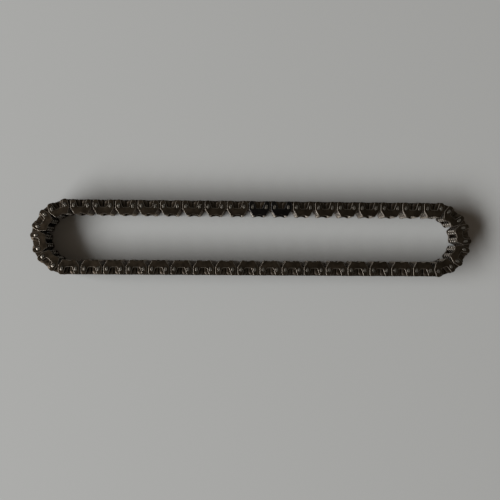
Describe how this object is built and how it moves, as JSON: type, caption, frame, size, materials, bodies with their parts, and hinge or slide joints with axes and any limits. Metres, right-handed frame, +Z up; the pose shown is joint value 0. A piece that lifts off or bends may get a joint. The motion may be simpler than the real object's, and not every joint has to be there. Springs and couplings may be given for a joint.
{
  "type": "silent chain",
  "caption": "Endless silent chain on its side: stamped inverted-tooth plates between notched guide plates, on paired rocker pins with riveted domed heads, for a toothed sprocket drive.",
  "frame": {"origin": "middle of the loop, on the plane under the lower rivet heads", "axes": "+Z up through the stack of plates, +X along the straight runs"},
  "size_m": [0.2532, 0.0434, 0.0126],
  "materials": {
    "guide_plate_steel": "satin",
    "timing_plate_steel": "satin",
    "toothed_plate_steel": "satin",
    "pin_steel": "gloss"
  },
  "bodies": {
    "top_1": {"guide_plates_top_1": "guide_plate_steel", "toothed_plates_top_1": "toothed_plate_steel", "rocker_pins_top_1": "pin_steel"},
    "top_2": {"guide_plates_top_2": "guide_plate_steel", "toothed_plates_top_2": "toothed_plate_steel", "rocker_pins_top_2": "pin_steel"},
    "top_3": {"guide_plates_top_3": "guide_plate_steel", "toothed_plates_top_3": "toothed_plate_steel", "rocker_pins_top_3": "pin_steel"},
    "top_4": {"guide_plates_top_4": "timing_plate_steel", "toothed_plates_top_4": "toothed_plate_steel", "rocker_pins_top_4": "pin_steel"},
    "top_5": {"guide_plates_top_5": "guide_plate_steel", "toothed_plates_top_5": "toothed_plate_steel", "rocker_pins_top_5": "pin_steel"},
    "top_6": {"guide_plates_top_6": "guide_plate_steel", "toothed_plates_top_6": "toothed_plate_steel", "rocker_pins_top_6": "pin_steel"},
    "right_1": {"guide_plates_right_1": "guide_plate_steel", "toothed_plates_right_1": "toothed_plate_steel", "rocker_pins_right_1": "pin_steel"},
    "right_2": {"guide_plates_right_2": "guide_plate_steel", "toothed_plates_right_2": "toothed_plate_steel", "rocker_pins_right_2": "pin_steel"},
    "right_3": {"guide_plates_right_3": "guide_plate_steel", "toothed_plates_right_3": "toothed_plate_steel", "rocker_pins_right_3": "pin_steel"},
    "right_4": {"guide_plates_right_4": "guide_plate_steel", "toothed_plates_right_4": "toothed_plate_steel", "rocker_pins_right_4": "pin_steel"},
    "bottom_1": {"guide_plates_bottom_1": "guide_plate_steel", "toothed_plates_bottom_1": "toothed_plate_steel", "rocker_pins_bottom_1": "pin_steel"},
    "bottom_2": {"guide_plates_bottom_2": "guide_plate_steel", "toothed_plates_bottom_2": "toothed_plate_steel", "rocker_pins_bottom_2": "pin_steel"},
    "bottom_3": {"guide_plates_bottom_3": "guide_plate_steel", "toothed_plates_bottom_3": "toothed_plate_steel", "rocker_pins_bottom_3": "pin_steel"},
    "bottom_4": {"guide_plates_bottom_4": "guide_plate_steel", "toothed_plates_bottom_4": "toothed_plate_steel", "rocker_pins_bottom_4": "pin_steel"},
    "bottom_5": {"guide_plates_bottom_5": "guide_plate_steel", "toothed_plates_bottom_5": "toothed_plate_steel", "rocker_pins_bottom_5": "pin_steel"},
    "bottom_6": {"guide_plates_bottom_6": "guide_plate_steel", "toothed_plates_bottom_6": "toothed_plate_steel", "rocker_pins_bottom_6": "pin_steel"},
    "left_1": {"guide_plates_left_1": "guide_plate_steel", "toothed_plates_left_1": "toothed_plate_steel", "rocker_pins_left_1": "pin_steel"},
    "left_2": {"guide_plates_left_2": "guide_plate_steel", "toothed_plates_left_2": "toothed_plate_steel", "rocker_pins_left_2": "pin_steel"},
    "left_3": {"guide_plates_left_3": "guide_plate_steel", "toothed_plates_left_3": "toothed_plate_steel", "rocker_pins_left_3": "pin_steel"},
    "left_4": {"guide_plates_left_4": "guide_plate_steel", "toothed_plates_left_4": "toothed_plate_steel", "rocker_pins_left_4": "pin_steel"}
  },
  "joints": [
    {"name": "top_4_to_top_5", "type": "hinge", "parent": "top_4", "child": "top_5", "pos_m": [0.01905, 0.01801, 0.00629], "axis": [0, 0, -1], "range_deg": [-2, 22]},
    {"name": "top_5_to_top_6", "type": "hinge", "parent": "top_5", "child": "top_6", "pos_m": [0.0635, 0.01801, 0.00629], "axis": [0, 0, -1], "range_deg": [-2, 22]},
    {"name": "top_6_to_right_1", "type": "hinge", "parent": "top_6", "child": "right_1", "pos_m": [0.10795, 0.01801, 0.00629], "axis": [0, 0, -1], "range_deg": [-22, 2]},
    {"name": "right_1_to_right_2", "type": "hinge", "parent": "right_1", "child": "right_2", "pos_m": [0.11878, 0.01175, 0.00629], "axis": [0, 0, -1], "range_deg": [-22, 2]},
    {"name": "right_2_to_right_3", "type": "hinge", "parent": "right_2", "child": "right_3", "pos_m": [0.12306, 0, 0.00629], "axis": [0, 0, -1], "range_deg": [-22, 2]},
    {"name": "right_3_to_right_4", "type": "hinge", "parent": "right_3", "child": "right_4", "pos_m": [0.11878, -0.01175, 0.00629], "axis": [0, 0, -1], "range_deg": [-22, 2]},
    {"name": "right_4_to_bottom_1", "type": "hinge", "parent": "right_4", "child": "bottom_1", "pos_m": [0.10795, -0.01801, 0.00629], "axis": [0, 0, -1], "range_deg": [-22, 2]},
    {"name": "bottom_1_to_bottom_2", "type": "hinge", "parent": "bottom_1", "child": "bottom_2", "pos_m": [0.06985, -0.01801, 0.00629], "axis": [0, 0, -1], "range_deg": [-2, 22]},
    {"name": "bottom_2_to_bottom_3", "type": "hinge", "parent": "bottom_2", "child": "bottom_3", "pos_m": [0.0381, -0.01801, 0.00629], "axis": [0, 0, -1], "range_deg": [-2, 22]},
    {"name": "top_4_to_top_3", "type": "hinge", "parent": "top_4", "child": "top_3", "pos_m": [-0.00635, 0.01801, 0.00629], "axis": [0, 0, 1], "range_deg": [-2, 22]},
    {"name": "top_3_to_top_2", "type": "hinge", "parent": "top_3", "child": "top_2", "pos_m": [-0.0381, 0.01801, 0.00629], "axis": [0, 0, 1], "range_deg": [-2, 22]},
    {"name": "top_2_to_top_1", "type": "hinge", "parent": "top_2", "child": "top_1", "pos_m": [-0.06985, 0.01801, 0.00629], "axis": [0, 0, 1], "range_deg": [-2, 22]},
    {"name": "top_1_to_left_4", "type": "hinge", "parent": "top_1", "child": "left_4", "pos_m": [-0.10795, 0.01801, 0.00629], "axis": [0, 0, 1], "range_deg": [-22, 2]},
    {"name": "left_4_to_left_3", "type": "hinge", "parent": "left_4", "child": "left_3", "pos_m": [-0.11878, 0.01175, 0.00629], "axis": [0, 0, 1], "range_deg": [-22, 2]},
    {"name": "left_3_to_left_2", "type": "hinge", "parent": "left_3", "child": "left_2", "pos_m": [-0.12306, 0, 0.00629], "axis": [0, 0, 1], "range_deg": [-22, 2]},
    {"name": "left_2_to_left_1", "type": "hinge", "parent": "left_2", "child": "left_1", "pos_m": [-0.11878, -0.01175, 0.00629], "axis": [0, 0, 1], "range_deg": [-22, 2]},
    {"name": "left_1_to_bottom_6", "type": "hinge", "parent": "left_1", "child": "bottom_6", "pos_m": [-0.10795, -0.01801, 0.00629], "axis": [0, 0, 1], "range_deg": [-22, 2]},
    {"name": "bottom_6_to_bottom_5", "type": "hinge", "parent": "bottom_6", "child": "bottom_5", "pos_m": [-0.0635, -0.01801, 0.00629], "axis": [0, 0, 1], "range_deg": [-2, 22]},
    {"name": "bottom_5_to_bottom_4", "type": "hinge", "parent": "bottom_5", "child": "bottom_4", "pos_m": [-0.01905, -0.01801, 0.00629], "axis": [0, 0, 1], "range_deg": [-2, 22]}
  ],
  "couplings": [
    {"joint": "top_6_to_right_1", "follows": "top_5_to_top_6", "ratio": -1},
    {"joint": "bottom_6_to_bottom_5", "follows": "top_5_to_top_6", "ratio": 1},
    {"joint": "left_1_to_bottom_6", "follows": "top_5_to_top_6", "ratio": -1},
    {"joint": "right_1_to_right_2", "follows": "top_4_to_top_5", "ratio": -1},
    {"joint": "bottom_5_to_bottom_4", "follows": "top_4_to_top_5", "ratio": 1},
    {"joint": "left_2_to_left_1", "follows": "top_4_to_top_5", "ratio": -1},
    {"joint": "right_2_to_right_3", "follows": "top_4_to_top_3", "ratio": -1},
    {"joint": "left_3_to_left_2", "follows": "top_4_to_top_3", "ratio": -1},
    {"joint": "right_3_to_right_4", "follows": "top_3_to_top_2", "ratio": -1},
    {"joint": "bottom_2_to_bottom_3", "follows": "top_3_to_top_2", "ratio": 1},
    {"joint": "left_4_to_left_3", "follows": "top_3_to_top_2", "ratio": -1},
    {"joint": "right_4_to_bottom_1", "follows": "top_2_to_top_1", "ratio": -1},
    {"joint": "bottom_1_to_bottom_2", "follows": "top_2_to_top_1", "ratio": 1},
    {"joint": "top_1_to_left_4", "follows": "top_2_to_top_1", "ratio": -1}
  ]
}
